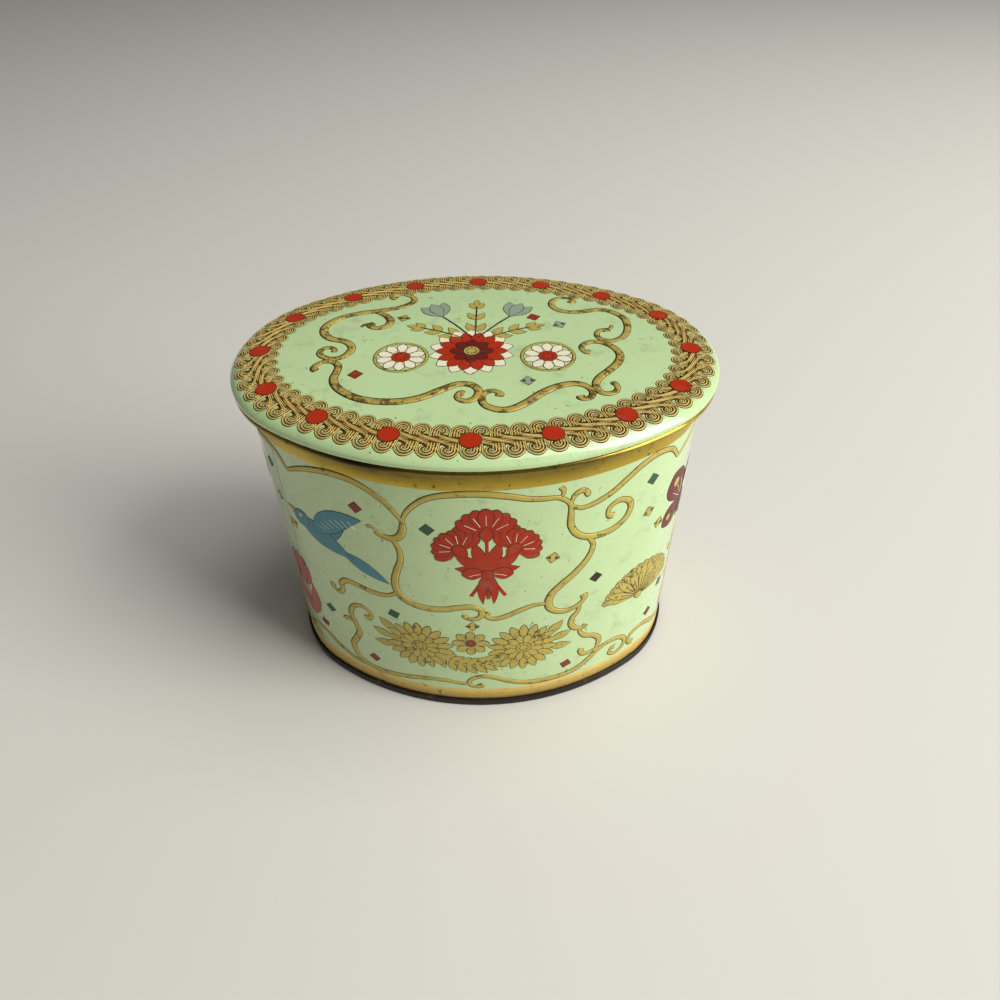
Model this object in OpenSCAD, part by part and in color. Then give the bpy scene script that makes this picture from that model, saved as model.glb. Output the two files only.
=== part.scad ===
// Oval tin with a lift-off lid. Millimetres, +Z up, long side along X, front towards -Y.
// The origin is the middle of the foot ring, on the surface that the tin stands on.

/* [Oval] */
// Length of the lid over its skirt
lid_length = 165; // [150:1:180]
// Depth of the lid over its skirt, front to back
lid_depth = 119; // [112:1:126]

/* [Heights] */
// Height of the ledge under the lid
body_height = 124.7; // [60:0.1:180]
// How much the lid's panel rises from its shoulder to its crown
crown_rise = 1.75; // [0.5:0.05:6]
// Width of the crown's level middle, at the centre of an end's curve
crown_flat = 8; // [4:0.5:20]

/* [Tinplate] */
// Thickness of the sheet that all pieces are made of
sheet = 0.3; // [0.2:0.02:0.34]

/* [Lid] */
// Outer radius of the lid's shoulder
shoulder_radius = 3.2; // [2.6:0.1:6]
// Diameter of the inward curl at the skirt's lower edge
lid_curl = 1.7; // [1.4:0.1:2.2]
// Flat stretch of the skirt between its curl and the shoulder
skirt_flat = 0.2; // [0:0.1:10]

/* [Flared top] */
// How far the lid stands out past the wall
wall_inset = 4.5; // [3:0.1:7]
// How far the lid stands out past the lip
lip_inset = 0.2; // [0:0.05:0.6]
// Radius of the hollow cove, at the middle of the sheet
cove_radius = 5; // [3:0.1:9]
// Radius of the rounded lip, at the middle of the sheet
lip_radius = 1; // [0.6:0.05:1.3]
// Inside radius of the bend from the ledge to the neck
neck_fillet = 0.1; // [0.05:0.05:0.3]
// Diameter of the neck's inward curl
neck_curl = 1.4; // [1.2:0.1:2]

/* [Base] */
// Height of the double seam round the base
seam_height = 3.6; // [3.2:0.1:5]
// Inside radius of the two bends of the foot
foot_fillet = 0.3; // [0.1:0.05:0.4]
// Height of the base panel over the foot
panel_recess = 3.2; // [2.4:0.1:6]
// Inside radius of the bend at the panel's edge
panel_fillet = 0.7; // [0.3:0.1:1.5]
// Step up to the middle of the base panel
panel_step = 0.8; // [0.5:0.05:2]
// Distance from the seam to that step
panel_margin = 9; // [4:0.5:20]

/* [Side seam] */
// Where the seam lies on the end's curve, turned from the left end towards the front
lock_angle = 39; // [0:1:45]
// Width of the folded lock
lock_width = 5; // [3:0.5:8]
// How far the fold stands into the tin
lock_depth = 0.6; // [0.4:0.1:1]
// Height of the fold's lower end over the base
lock_start = 0.4; // [0.2:0.1:3]

/* [Fits] */
// Clearance round the neck, inside the lid's curl
neck_clearance = 0.35; // [0.2:0.05:0.6]
// Gap between the ledge and the lid that sits on it
seat_gap = 0.3; // [0.2:0.05:0.5]
// Gap between the neck and the shoulder above it
head_gap = 0.5; // [0.3:0.05:1]
// Play between the folded layers of the double seam
seam_play = 0.05; // [0.04:0.01:0.08]

/* [Hidden] */
// Steps of a full turn round the tin
$fn = 180;
half_sheet = sheet / 2;

// The oval is four arcs. Each pair of centres lies on a 3-4-5 triangle, so every size inset from the lid's
// outline keeps the same centres and the same gap all the way round.
half_length = lid_length / 2;
half_depth = lid_depth / 2;
centre_span = 2.5 * (half_length - half_depth);
end_x = 0.6 * centre_span;
side_y = 0.8 * centre_span;
end_r = half_length - end_x;
side_r = half_depth + side_y;
join_angle = atan2(side_y, end_x);

// Sections are drawn in u and z: u is the distance out from the lid's outline, so it is negative inside it.
// A place on a sheet is on the middle of its thickness.

// Lid
lid_edge_z = body_height + seat_gap;
shoulder_z = lid_edge_z + lid_curl / 2 + skirt_flat;
crown_u = crown_flat / 2 - end_r;
crown_z = shoulder_z + shoulder_radius + crown_rise - half_sheet;
crown_run = -shoulder_radius - crown_u;
crown_angle = 2 * atan(crown_rise / crown_run);
crown_r = shoulder_radius - half_sheet + crown_run / sin(crown_angle);
lid_bends = [
    bend(-lid_curl / 2, lid_edge_z + lid_curl / 2, lid_curl / 2 - half_sheet, 120, 360, 8),
    bend(-shoulder_radius, shoulder_z, shoulder_radius - half_sheet, 0, 90 - crown_angle, 6),
    bend(crown_u, crown_z - crown_r, crown_r, 90 - crown_angle, 90, 6),
    cut_end(-end_r, crown_z, -90)
];

// Body wall
wall_u = -wall_inset - half_sheet;
layer = sheet + seam_play;
hook_r = layer;
hook_u = wall_u + 2 * hook_r;
hook_z = sheet + 2 * seam_play + hook_r + half_sheet;
hook_tip_z = seam_height - sheet - hook_r - seam_play;
ledge_z = body_height - half_sheet;
lip_u = -lip_inset - half_sheet - lip_radius;
lip_z = ledge_z - lip_radius;
flare_r = cove_radius + lip_radius;
flare_angle = acos((lip_u - wall_u - cove_radius) / flare_r);
cove_z = lip_z - flare_r * sin(flare_angle);
neck_u = -lid_curl - neck_clearance - half_sheet;
neck_bend_r = neck_fillet + half_sheet;
neck_curl_r = neck_curl / 2 - half_sheet;
shoulder_side = max(0, shoulder_radius + neck_u + half_sheet);
neck_top = shoulder_z + sqrt(pow(shoulder_radius - sheet, 2) - pow(shoulder_side, 2)) - head_gap;
wall_bends = [
    cut_end(hook_u, hook_tip_z, 0),
    bend(wall_u + hook_r, hook_z, hook_r, 0, -180, 6),
    bend(wall_u + cove_radius, cove_z, cove_radius, 180, flare_angle, 6),
    bend(lip_u, lip_z, lip_radius, flare_angle - 180, 90, 8),
    bend(neck_u + neck_bend_r, ledge_z + neck_bend_r, neck_bend_r, 270, 180, 2),
    bend(neck_u - neck_curl_r, neck_top - neck_curl / 2, neck_curl_r, 0, 240, 8)
];

// Base
chuck_u = wall_u - layer;
cover_u = wall_u + layer;
seam_u = wall_u + 3 * layer;
foot_r = foot_fillet + half_sheet;
panel_bend_r = panel_fillet + half_sheet;
panel_z = panel_recess + half_sheet;
step_angle = 60;
step_r = panel_step / (2 - 2 * cos(step_angle));
step_u = chuck_u - panel_margin;
step_run = 2 * step_r * sin(step_angle);
base_bends = [
    cut_end(-end_r, panel_z + panel_step, 90),
    bend(step_u - step_run, panel_z + panel_step - step_r, step_r, 90, 90 - step_angle, 3),
    bend(step_u, panel_z + step_r, step_r, 270 - step_angle, 270, 3),
    bend(chuck_u - panel_bend_r, panel_z - panel_bend_r, panel_bend_r, 90, 0, 3),
    bend(chuck_u + foot_r, foot_r + half_sheet, foot_r, 180, 270, 3),
    bend(seam_u - foot_r, foot_r + half_sheet, foot_r, 270, 360, 3),
    bend(seam_u - hook_r, seam_height - half_sheet - hook_r, hook_r, 0, 180, 6),
    cut_end(cover_u, hook_z + 2 * seam_play, 0)
];

// One bend of the sheet: its centre, the radius at the middle of the sheet, its first and last angle, and
// the flats that its curve is made of. A cut end has an angle that points to the left of the sheet's run.
function bend(u, z, r, from, to, flats) =
    [for (i = [0 : flats])
        let (a = from + (to - from) * i / flats)
        [u + r * cos(a), z + r * sin(a), to > from ? a + 180 : a]];
function cut_end(u, z, left) = [[u, z, left]];

// Points on one side of a sheet, moved to the left of its run by off
function side_points(bends, off) =
    [for (b = bends) for (p = b) [p[0] + off * cos(p[2]), p[1] + off * sin(p[2])]];
function reversed(points) = [for (i = [len(points) - 1 : -1 : 0]) points[i]];

// Section through a bent sheet
module bent_sheet(bends) {
    polygon(concat(side_points(bends, half_sheet), reversed(side_points(bends, -half_sheet))));
}

// Sweeps a section round the oval, a quarter at a time
module oval_sweep() {
    for (mx = [0, 1], my = [0, 1])
        mirror([mx, 0, 0])
            mirror([0, my, 0]) {
                translate([end_x, 0, 0])
                    rotate_extrude(angle = join_angle, start = 0)
                        translate([end_r, 0])
                            children();
                translate([0, -side_y, 0])
                    rotate_extrude(angle = 90 - join_angle, start = join_angle)
                        translate([side_r, 0])
                            children();
            }
}

// The flat middle of a panel, between the inner ends of its swept quarters, with its middle at z
module panel_middle(z) {
    translate([0, 0, z - half_sheet])
        linear_extrude(sheet)
            intersection_for (s = [-1, 1])
                translate([0, s * side_y])
                    circle(centre_span);
}

module lid() {
    color("darkseagreen") {
        oval_sweep() bent_sheet(lid_bends);
        panel_middle(crown_z);
    }
}

// The fold of the side seam, inside the wall
module side_lock() {
    lock_r = end_r + wall_u;
    lock_turn = lock_width / lock_r * 180 / PI;
    lock_z = max(seam_height, panel_recess + sheet) + lock_start;
    translate([-end_x, 0, 0])
        rotate_extrude(angle = lock_turn, start = 180 + lock_angle - lock_turn / 2)
            translate([lock_r - half_sheet - lock_depth, lock_z])
                square([lock_depth + half_sheet, cove_z - lock_z]);
}

module body_wall() {
    color("mediumaquamarine") {
        oval_sweep() bent_sheet(wall_bends);
        side_lock();
    }
}

module base() {
    color("dimgray") {
        oval_sweep() bent_sheet(base_bends);
        panel_middle(panel_z + panel_step);
    }
}

lid();
body_wall();
base();
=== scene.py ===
import random
from collections import defaultdict
from math import acos, atan, atan2, ceil, copysign, cos, degrees, floor, hypot, pi, radians, sin, sqrt

import bmesh
import bpy
from mathutils import Euler, Matrix, Vector
from mathutils.geometry import interpolate_bezier


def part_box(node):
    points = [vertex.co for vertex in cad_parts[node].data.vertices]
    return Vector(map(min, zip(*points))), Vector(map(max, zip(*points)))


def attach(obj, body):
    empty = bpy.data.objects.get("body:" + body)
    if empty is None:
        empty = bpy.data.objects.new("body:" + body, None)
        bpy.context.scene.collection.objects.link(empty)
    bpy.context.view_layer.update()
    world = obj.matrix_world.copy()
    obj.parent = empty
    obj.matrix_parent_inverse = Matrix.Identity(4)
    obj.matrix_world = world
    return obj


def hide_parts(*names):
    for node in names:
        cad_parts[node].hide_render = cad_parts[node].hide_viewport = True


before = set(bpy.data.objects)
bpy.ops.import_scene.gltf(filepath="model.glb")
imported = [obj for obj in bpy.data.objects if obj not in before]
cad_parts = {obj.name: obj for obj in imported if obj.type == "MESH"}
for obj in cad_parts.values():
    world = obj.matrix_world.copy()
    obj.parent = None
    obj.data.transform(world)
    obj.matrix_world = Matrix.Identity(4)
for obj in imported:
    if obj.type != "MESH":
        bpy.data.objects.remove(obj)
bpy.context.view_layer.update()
lidLow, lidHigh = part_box("lid")
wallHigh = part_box("body_wall")[1]
scene = bpy.context.scene
mm = 0.001
random.seed(11)

# The oval is four arcs with centres on a 3-4-5 triangle, so each inset from the lid's outline keeps them.
halfLength = lidHigh.x
halfDepth = round(lidHigh.y, 4)  # the frame's facets fall a little short of the true arc
centreSpan = 2.5 * (halfLength - halfDepth)
endX, sideY = 0.6 * centreSpan, 0.8 * centreSpan
endRadius, sideRadius = halfLength - endX, halfDepth + sideY
joinAngle = atan2(sideY, endX)
sideTurn = pi - 2 * joinAngle
joinSlack = 0.001  # mm, for rounding where two arcs meet
# Centre, radius, first angle and turn of each arc, from the front's middle to the right and round
ovalArcs = [
    (Vector((0, sideY, 0)), sideRadius, -pi / 2, sideTurn / 2),
    (Vector((endX, 0, 0)), endRadius, -joinAngle, 2 * joinAngle),
    (Vector((0, -sideY, 0)), sideRadius, joinAngle, sideTurn),
    (Vector((-endX, 0, 0)), endRadius, pi - joinAngle, 2 * joinAngle),
    (Vector((0, sideY, 0)), sideRadius, joinAngle - pi, sideTurn / 2)]
print("oval arcs", round(endRadius / mm, 2), round(sideRadius / mm, 2))


def ovalLength(inset):
    return sum(turn * (radius / mm - inset) for _, radius, _, turn in ovalArcs)


def ovalPlace(along, line, inset):
    # Along the oval that lies line mm inside the lid's outline, then straight in or out to another inset
    along %= ovalLength(line)
    for centre, radius, start, turn in ovalArcs:
        run = turn * (radius / mm - line)
        if along < run + joinSlack:
            break
        along -= run
    angle = start + min(along, run) / (radius / mm - line)
    return centre + (radius - inset * mm) * Vector((cos(angle), sin(angle), 0))


def insetAt(x, y):
    # How far inside the lid's outline a place of its plan is, in mm
    x, y = abs(x) * mm, abs(y) * mm
    if atan2(y, x - endX) < joinAngle:
        return (endRadius - hypot(x - endX, y)) / mm
    return (sideRadius - hypot(x, y + sideY)) / mm


def sectionPoint(u, z):
    return Vector((0, -halfDepth - u * mm, z * mm))


def drawSection(bm, runs):
    # Section of a sheet at the front, in mm: u is the way out from the lid's outline. A run is a place to go
    # straight to, or a bend about a centre by so many degrees, with its steps.
    tip = bm.verts.new(sectionPoint(*runs[0]))
    for run in runs[1:]:
        if len(run) == 2:
            tip = bmesh.ops.extrude_vert_indiv(bm, verts=[tip])["verts"][0]
            tip.co = sectionPoint(*run)
            continue
        u, z, turn, steps = run
        made = bmesh.ops.spin(bm, geom=[tip], cent=sectionPoint(u, z), axis=(1, 0, 0),
                              angle=-radians(turn), steps=steps)
        tip = [g for g in made["geom_last"] if isinstance(g, bmesh.types.BMVert)][0]


def sweepOval(bm, stepTurn):
    tip = bm.verts[:] + bm.edges[:]
    for centre, _, _, turn in ovalArcs:
        tip = bmesh.ops.spin(bm, geom=tip, cent=centre, axis=(0, 0, 1), angle=turn,
                             steps=round(turn / radians(stepTurn)))["geom_last"]
    bmesh.ops.remove_doubles(bm, verts=bm.verts, dist=sheetSpec["weld"] * mm)


def makePiece(name, bm, materials, body):
    mesh = bpy.data.meshes.new(name)
    bm.to_mesh(mesh)
    bm.free()
    for material in materials:
        mesh.materials.append(material)
    piece = bpy.data.objects.new(name, mesh)
    scene.collection.objects.link(piece)
    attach(piece, body)
    print(name, len(mesh.polygons), "faces")
    return piece


def makeShell(name, runs, facing, bands, materials, body):
    # One pressed sheet: its outer face, with the sheet's thickness behind it and the last material inside.
    # Facing is the way that its largest face looks, or None for a wall. Bands are heights where the print
    # changes.
    bm = bmesh.new()
    drawSection(bm, runs)
    sweepOval(bm, sheetSpec["stepTurn"])
    if facing:
        middleZ, weld = runs[0][1] * mm, sheetSpec["weld"] * mm
        loop = [e for e in bm.edges if e.is_boundary and abs(e.verts[0].co.z - middleZ) < weld]
        bmesh.ops.edgeloop_fill(bm, edges=loop)
    bmesh.ops.recalc_face_normals(bm, faces=bm.faces)
    largest = max(bm.faces, key=lambda f: f.calc_area())
    if largest.normal.dot(facing or largest.calc_center_median()) < 0:
        bmesh.ops.reverse_faces(bm, faces=bm.faces)
    for face in bm.faces:
        face.smooth = True
        face.material_index = sum(face.calc_center_median().z > edge * mm for edge in bands)
    piece = makePiece(name, bm, materials, body)
    wall = piece.modifiers.new("sheet", "SOLIDIFY")
    wall.thickness = sheetSpec["thickness"] * mm
    wall.offset = -1
    wall.material_offset = len(materials) - 1
    wall.material_offset_rim = len(materials) - 1
    return piece


def srgb(code):
    parts = [int(code[i:i + 2], 16) / 255 for i in (1, 3, 5)]
    return tuple(c / 12.92 if c <= 0.04045 else ((c + 0.055) / 1.055) ** 2.4 for c in parts) + (1,)


def addNode(tree, kind, settings, links=()):
    node = tree.nodes.new("ShaderNode" + kind)
    for name, value in settings.items():
        if isinstance(name, int) or name in node.inputs:
            node.inputs[name].default_value = value
        else:
            setattr(node, name, value)
    for name, source in links:
        tree.links.new(source, node.inputs[name])
    return node


def noiseNode(tree, spot, size, detail, roughness=0.5):
    # A cloudy pattern, from the real size of its patches in mm
    settings = {"Scale": 1 / (size * mm), "Detail": detail, "Roughness": roughness}
    return addNode(tree, "TexNoise", settings, [("Vector", spot)]).outputs["Fac"]


def cellNode(tree, spot, size):
    # Cells of a real size in mm: the distance from a cell's middle, and a random value for each cell
    cells = addNode(tree, "TexVoronoi", {"Scale": 1 / (size * mm)}, [("Vector", spot)])
    pick = addNode(tree, "SeparateColor", {}, [("Color", cells.outputs["Color"])])
    return cells.outputs["Distance"], pick.outputs["Red"]


def rangeNode(tree, value, low, high, lowest=0.0, highest=1.0):
    settings = {"From Min": low, "From Max": high, "To Min": lowest, "To Max": highest}
    return addNode(tree, "MapRange", settings, [("Value", value)]).outputs["Result"]


def mathNode(tree, operation, first, second):
    return addNode(tree, "Math", {"operation": operation}, [(0, first), (1, second)]).outputs[0]


def coverNode(tree, share, under, colour):
    # A colour over what is under it, by a share of 0 to 1
    mix = addNode(tree, "Mix", {"data_type": "RGBA", 7: srgb(colour)}, [(0, share), (6, under)])
    return mix.outputs[2]


def newMaterial(name):
    material = bpy.data.materials.new(name)
    material.use_nodes = True
    return material, material.node_tree, material.node_tree.nodes["Principled BSDF"]


def flatPaint(name, colour, roughness):
    material, _, shader = newMaterial(name)
    shader.inputs["Base Color"].default_value = srgb(colour)
    shader.inputs["Roughness"].default_value = roughness
    return material


def litho(name, colour, tone, roughness, metallic=0.0, scuff=0.64, scuffInk="#33240F", scuffDepth=0.8,
          paintedShade=None, varnish=0.0, peelDepth=0.05):
    # Litho ink under varnish on tinplate: even and glossy, with a slow drift in tone, faint rubbed smudges,
    # dark specks where damp got through, and scuffs. Scuff is the noise level past which the ink is worn.
    # The last argument paints shade: a dark ink, the heights in mm between which it sets in, and a place with
    # the distances where it ends and where it is full.
    material, tree, shader = newMaterial(name)
    scuffSoft = 0.07  # from the first wear to the full scuff
    spot = addNode(tree, "TexCoord", {}).outputs["Object"]
    drift = noiseNode(tree, spot, 24, 2)
    smudge = noiseNode(tree, spot, 7, 5, 0.65)
    speckDistance, speckPick = cellNode(tree, spot, 3.2)
    specks = mathNode(tree, "MULTIPLY", rangeNode(tree, speckDistance, 0.13, 0.05),
                      rangeNode(tree, speckPick, 0.78, 0.95))
    scuffs = rangeNode(tree, noiseNode(tree, spot, 3, 6, 0.7), scuff, scuff + scuffSoft, 0, scuffDepth)
    base = addNode(tree, "Mix", {"data_type": "RGBA", 6: srgb(colour), 7: srgb(tone)}, [(0, drift)])
    rubbed = coverNode(tree, rangeNode(tree, smudge, 0.55, 0.75, 0, 0.35), base.outputs[2], "#7C7A5C")
    surface = coverNode(tree, mathNode(tree, "MAXIMUM", specks, scuffs), rubbed, scuffInk)
    # Painted shade: darker between two heights and nearer one place, in patches that follow the drift
    if paintedShade:
        ink, shadeLow, dark, shadeCore, thin, full = paintedShade
        height = addNode(tree, "SeparateXYZ", {}, [("Vector", spot)]).outputs["Z"]
        patches = mathNode(tree, "MULTIPLY", rangeNode(tree, height, shadeLow * mm, dark * mm),
                           rangeNode(tree, drift, 0.35, 0.65, 0.7))
        reach = addNode(tree, "VectorMath", {"operation": "DISTANCE", 1: Vector(shadeCore) * mm}, [(0, spot)])
        near = rangeNode(tree, reach.outputs["Value"], thin * mm, full * mm, 0.25)
        surface = coverNode(tree, mathNode(tree, "MULTIPLY", patches, near), surface, ink)
    gloss = rangeNode(tree, smudge, 0.3, 0.75, roughness - 0.06, roughness + 0.16)
    peel = noiseNode(tree, spot, 1.6, 1)
    bump = addNode(tree, "Bump", {"Strength": 0.12, "Distance": peelDepth * mm}, [("Height", peel)])
    tree.links.new(surface, shader.inputs["Base Color"])
    tree.links.new(gloss, shader.inputs["Roughness"])
    tree.links.new(bump.outputs["Normal"], shader.inputs["Normal"])
    shader.inputs["Metallic"].default_value = metallic
    shader.inputs["Specular IOR Level"].default_value = 0.25
    shader.inputs["Coat Weight"].default_value = varnish
    shader.inputs["Coat Roughness"].default_value = 0.08
    return material


def tinplate(name, colour, tarnish):
    # Bare tinplate inside the tin: a dull silvery metal with the faint frosted patches of its tin coat, brown
    # stains from age and fine rolling lines up the sheet
    material, tree, shader = newMaterial(name)
    spot = addNode(tree, "TexCoord", {}).outputs["Object"]
    frost = cellNode(tree, spot, 6)[1]
    stains = rangeNode(tree, noiseNode(tree, spot, 15, 6, 0.7), 0.48, 0.7, 0, 0.7)
    surface = addNode(tree, "Mix", {"data_type": "RGBA", 6: srgb(colour), 7: srgb(tarnish)}, [(0, stains)])
    stretched = addNode(tree, "Mapping", {"Scale": (1, 1, 0.02)}, [("Vector", spot)])
    rolled = noiseNode(tree, stretched.outputs["Vector"], 0.8, 2)
    bump = addNode(tree, "Bump", {"Strength": 0.15, "Distance": 0.03 * mm}, [("Height", rolled)])
    tree.links.new(surface.outputs[2], shader.inputs["Base Color"])
    tree.links.new(rangeNode(tree, frost, 0, 1, 0.34, 0.4), shader.inputs["Roughness"])
    tree.links.new(bump.outputs["Normal"], shader.inputs["Normal"])
    shader.inputs["Metallic"].default_value = 1
    return material


# Pale green print under a gloss varnish
greenPrint = litho("green_litho_print", "#C2DCA0", "#B9D298", 0.22, varnish=1.0)
# Printed gold: a dull yellow that hardly shines, with brown scuffs
goldInk = litho("gold_litho_ink", "#C8B65E", "#B2A04A", 0.34, 0.15, 0.57)
# Gold lacquer on bright metal under the lip: it mirrors the room; brown painted shade darkens the cove
# towards the lip, most at the front, for the lid's shadow and dark reflection
goldBand = litho("gold_lacquered_tinplate", "#DCC050", "#CCAE40", 0.2, 0.85, 0.6, peelDepth=0.02,
                 paintedShade=("#3C2D0A", 112, 119.5, (-6, -58, 120), 78, 40))
# Gold lacquer low on the wall, paler and dull
goldFoot = litho("gold_lacquer_at_the_foot", "#EACB78", "#E0BC62", 0.34, 0.05, 0.6)
bareTin = tinplate("bare_tinplate", "#CFCABD", "#A3926E")
# Seam and underside, nearly black with age, with rubbed brown spots
darkTin = litho("aged_dark_tinplate", "#2A211A", "#1C1611", 0.42, 0.2, 0.62, "#4A3A28", 0.6)
inks = {
    "gold": goldInk,
    "wornGold": litho("worn_gold_litho_ink", "#C4AC58", "#AE9846", 0.34, 0.15, 0.5),
    "ecru": litho("ecru_litho_ink", "#D8BE70", "#CAAE5E", 0.45, 0.0, 0.6),
    "key": litho("brown_key_ink", "#38280E", "#2C1F0A", 0.36),
    "umber": litho("umber_litho_ink", "#563E0E", "#483208", 0.45),
    "red": litho("red_litho_ink", "#B22F0C", "#A2280A", 0.32),
    "darkRed": litho("dark_red_litho_ink", "#6E1E16", "#601812", 0.32),
    "brick": litho("brick_red_litho_ink", "#96321C", "#842A16", 0.32),
    "pine": litho("pine_green_litho_ink", "#35604A", "#2C523E", 0.32),
    "teal": litho("teal_litho_ink", "#5294A2", "#478592", 0.32),
    "pink": litho("pink_litho_ink", "#C0685C", "#B45A50", 0.32),
    "cream": litho("cream_litho_ink", "#EFE7CB", "#E4DABA", 0.3),
    "grey": litho("grey_litho_ink", "#93A48C", "#86967F", 0.32)}
print("inks", len(inks))

# The three sheets. Sizes are in mm, as on the outer face of the sheet.
sheetSpec = {"thickness": 0.3, "stepTurn": 2, "weld": 0.005}
lidSpec = {"curl": 0.85, "curlTurn": 240, "skirtFlat": 0.7, "edge": 1, "edgeTurn": 35, "shoulder": 5,
           "crownRise": 1.35, "crownFlat": 8}
edgeTilt = radians(90 - lidSpec["edgeTurn"])
curlZ = lidLow.z / mm + lidSpec["curl"]
edgeZ = curlZ + lidSpec["skirtFlat"]
shoulderInset = lidSpec["edge"] + (lidSpec["shoulder"] - lidSpec["edge"]) * sin(edgeTilt)
shoulderZ = edgeZ - (lidSpec["shoulder"] - lidSpec["edge"]) * cos(edgeTilt)
crownInset = endRadius / mm - lidSpec["crownFlat"] / 2
crownRun = crownInset - shoulderInset
crownAngle = 2 * atan(lidSpec["crownRise"] / crownRun)
crownRadius = lidSpec["shoulder"] + crownRun / sin(crownAngle)
crownTurn = degrees(crownAngle)
# The crown is low enough to leave room for the embossed print under the frame's top
crownZ = shoulderZ + lidSpec["shoulder"] + lidSpec["crownRise"]
lidRuns = [
    (-crownInset, crownZ),
    (-crownInset, crownZ - crownRadius, -crownTurn, 12),
    (-shoulderInset, shoulderZ, crownTurn + lidSpec["edgeTurn"] - 90, 12),
    (-lidSpec["edge"], edgeZ, -lidSpec["edgeTurn"], 5),
    (0, curlZ),
    (-lidSpec["curl"], curlZ, -lidSpec["curlTurn"], 12)]
lid = makeShell("tin_lid", lidRuns, Vector((0, 0, 1)), [], [greenPrint, bareTin], "lid")
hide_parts("lid")

wallSpec = {"inset": 4.5, "bandFoot": 10, "bandTop": 114, "cove": 4.85, "lip": 1.15, "lipInset": 0.2,
            "ledge": 124.7, "ledgeMargin": 0.05, "neckInset": 2.05, "neckFillet": 0.1, "neckCurl": 0.7,
            "curlTurn": 240, "start": 1.2}
flare = wallSpec["cove"] + wallSpec["lip"]
lipU, lipZ = -wallSpec["lipInset"] - wallSpec["lip"], wallSpec["ledge"] - wallSpec["lip"]
coveU = wallSpec["cove"] - wallSpec["inset"]
coveTurn = degrees(acos((coveU - lipU) / flare))
coveZ = lipZ - flare * sin(radians(coveTurn))
neckU, neckTop = -wallSpec["neckInset"], wallHigh.z / mm - wallSpec["neckCurl"]
wallU, ledgeZ, neckBend = -wallSpec["inset"], wallSpec["ledge"], wallSpec["neckFillet"]
wallRuns = [
    (wallU, wallSpec["start"]),
    (wallU, wallSpec["bandFoot"]),
    (wallU, wallSpec["bandTop"]),
    (wallU, coveZ),
    (coveU, coveZ, -coveTurn, 10),
    (lipU, lipZ, 90 + coveTurn, 12),
    (neckU + neckBend, ledgeZ),
    (neckU + neckBend, ledgeZ + neckBend, -90, 2),
    (neckU, neckTop),
    (neckU - wallSpec["neckCurl"], neckTop, wallSpec["curlTurn"], 10)]
wallBands = [wallSpec["bandFoot"], wallSpec["bandTop"], ledgeZ - wallSpec["ledgeMargin"]]
wall = makeShell("tin_wall", wallRuns, None, wallBands, [goldFoot, greenPrint, goldBand, bareTin],
                 "tin_body")
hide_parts("body_wall")

baseSpec = {"seamInset": 3.45, "seamHeight": 3.6, "seamBend": 0.5, "seamHook": 1, "foot": 0.6,
            "chuckInset": 5.15, "panelBend": 0.7, "panel": 3.2, "step": 0.8, "stepInset": 14,
            "stepAngle": 60}
seamU, chuckU, footR = -baseSpec["seamInset"], -baseSpec["chuckInset"], baseSpec["foot"]
panelZ, panelBend, stepTurn = baseSpec["panel"], baseSpec["panelBend"], baseSpec["stepAngle"]
halfSheet = sheetSpec["thickness"] / 2
stepRadius = baseSpec["step"] / (2 - 2 * cos(radians(stepTurn)))
stepU = -baseSpec["stepInset"] - 2 * stepRadius * sin(radians(stepTurn))
panelTop = panelZ + baseSpec["step"]
seamTop = baseSpec["seamHeight"] - baseSpec["seamBend"]
baseRuns = [
    (-crownInset, panelTop),
    (stepU, panelTop),
    (stepU, panelTop - stepRadius + halfSheet, -stepTurn, 4),
    (-baseSpec["stepInset"], panelZ + stepRadius + halfSheet, stepTurn, 4),
    (chuckU - panelBend, panelZ),
    (chuckU - panelBend, panelZ - panelBend, -90, 5),
    (chuckU, footR),
    (chuckU + footR, footR, 90, 5),
    (seamU - footR, 0),
    (seamU - footR, footR, 90, 5),
    (seamU, seamTop),
    (seamU - baseSpec["seamBend"], seamTop, 180, 8),
    (seamU - 2 * baseSpec["seamBend"], seamTop - baseSpec["seamHook"])]
base = makeShell("tin_base", baseRuns, Vector((0, 0, -1)), [], [darkTin, bareTin],
                 "tin_body")
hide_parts("base")

# Fold of the side seam, inside the wall at the front left
lockSpec = {"angle": 39, "width": 5, "depth": 0.6, "low": 4, "steps": 4, "shadowHalf": 0.12, "shadowFlat": 0.25}
lockRadius = endRadius / mm - wallSpec["inset"] - sheetSpec["thickness"]
lockTurn = lockSpec["width"] / lockRadius
lock = bmesh.new()
bmesh.ops.create_grid(lock, x_segments=1, y_segments=1, size=0.5)
for vert in lock.verts:
    out, up = vert.co.x + 0.5, vert.co.y + 0.5
    foldRadius = lockRadius - lockSpec["depth"] * (1 - out)
    vert.co = Vector((foldRadius, 0, lockSpec["low"] + (coveZ - lockSpec["low"]) * up)) * mm
turned = Matrix.Rotation(pi + radians(lockSpec["angle"]) - lockTurn / 2, 4, "Z")
bmesh.ops.transform(lock, matrix=Matrix.Translation((-endX, 0, 0)) @ turned, verts=lock.verts)
bmesh.ops.spin(lock, geom=lock.faces[:], cent=(-endX, 0, 0), axis=(0, 0, 1), angle=lockTurn,
               steps=lockSpec["steps"])
bmesh.ops.holes_fill(lock, edges=lock.edges)
bmesh.ops.recalc_face_normals(lock, faces=lock.faces)
makePiece("wall_lock_fold", lock, [bareTin], "tin_body")


def lidHeight(inset):
    if inset >= crownInset:
        return crownZ
    if inset > shoulderInset - lidSpec["shoulder"] * sin(crownAngle):
        return crownZ - crownRadius + sqrt(crownRadius ** 2 - (crownInset - inset) ** 2)
    return shoulderZ + sqrt(lidSpec["shoulder"] ** 2 - (shoulderInset - inset) ** 2)


def onLid(x, y, rise):
    return Vector((x, y, lidHeight(insetAt(x, y)) + rise)) * mm


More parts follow.
